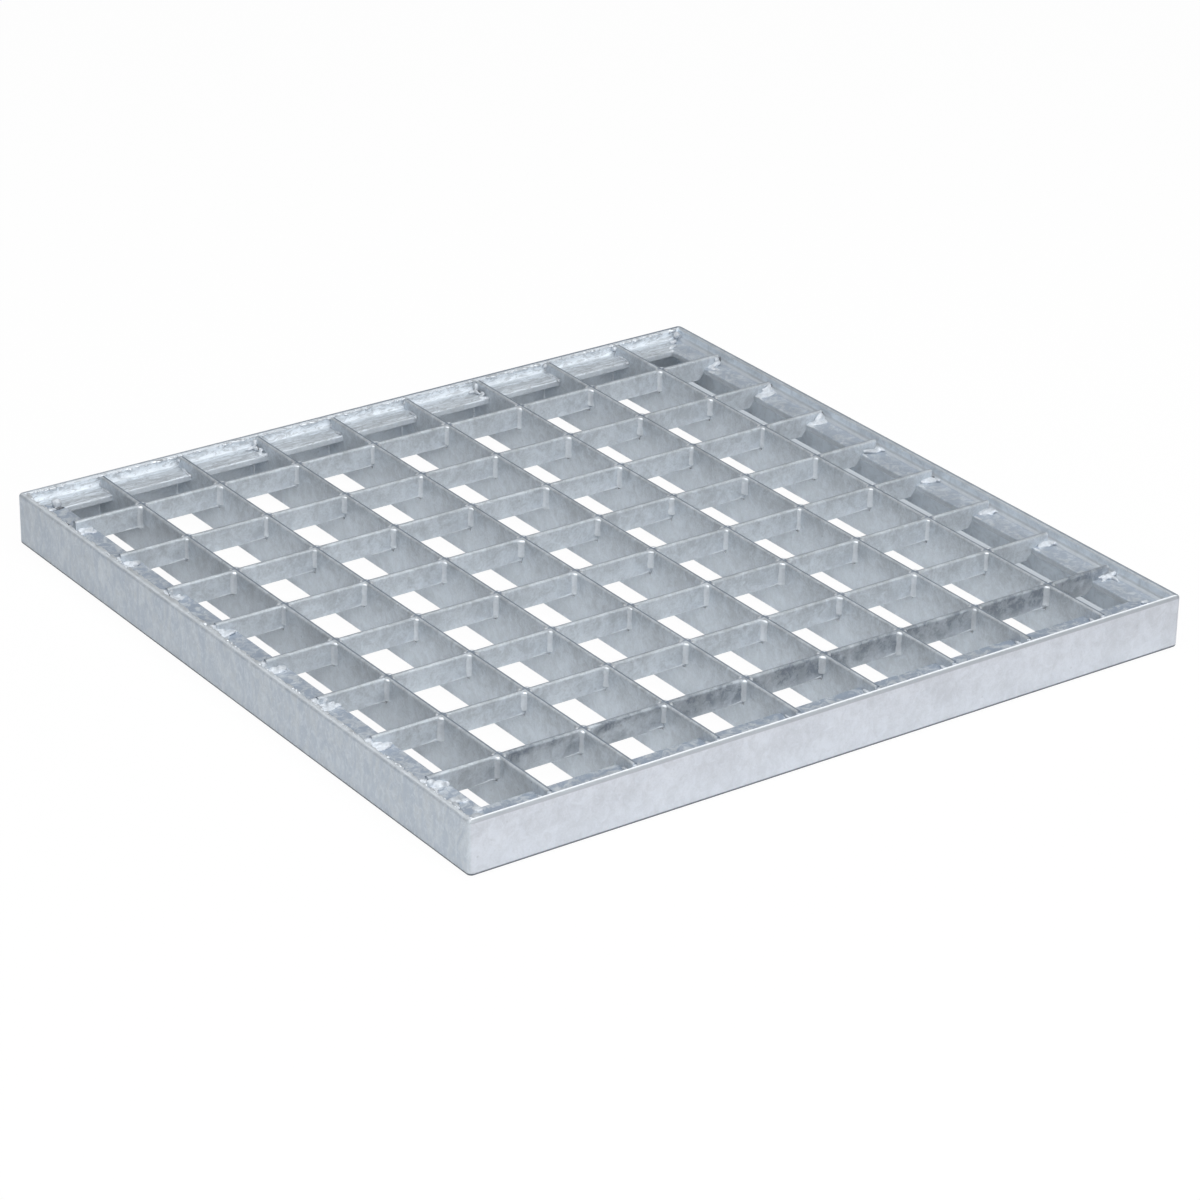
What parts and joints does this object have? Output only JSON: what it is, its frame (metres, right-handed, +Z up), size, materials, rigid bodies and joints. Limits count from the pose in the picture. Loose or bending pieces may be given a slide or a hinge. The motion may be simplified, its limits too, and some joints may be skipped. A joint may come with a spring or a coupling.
{
  "type": "steel grating panel",
  "caption": "Square hot-dip galvanised steel grating panel: crossed flat bars in an open square mesh, held in a bent edging strip with an inward rib.",
  "frame": {"origin": "middle of the underside, on the floor the panel lies on", "axes": "+X along the cross bars, +Y along the bearing bars, +Z up through the walking surface"},
  "size_m": [0.3, 0.3, 0.02],
  "materials": {
    "galvanised_bars": "hot-dip galvanised, matte blue-grey zinc with pale runs at the crossings",
    "galvanised_edging": "hot-dip galvanised, matte pale grey zinc, rough beaded zinc along the rims and at the welds"
  },
  "bodies": {
    "root": {"bar_grid": "galvanised_bars", "edging_strip": "galvanised_edging"}
  },
  "joints": []
}
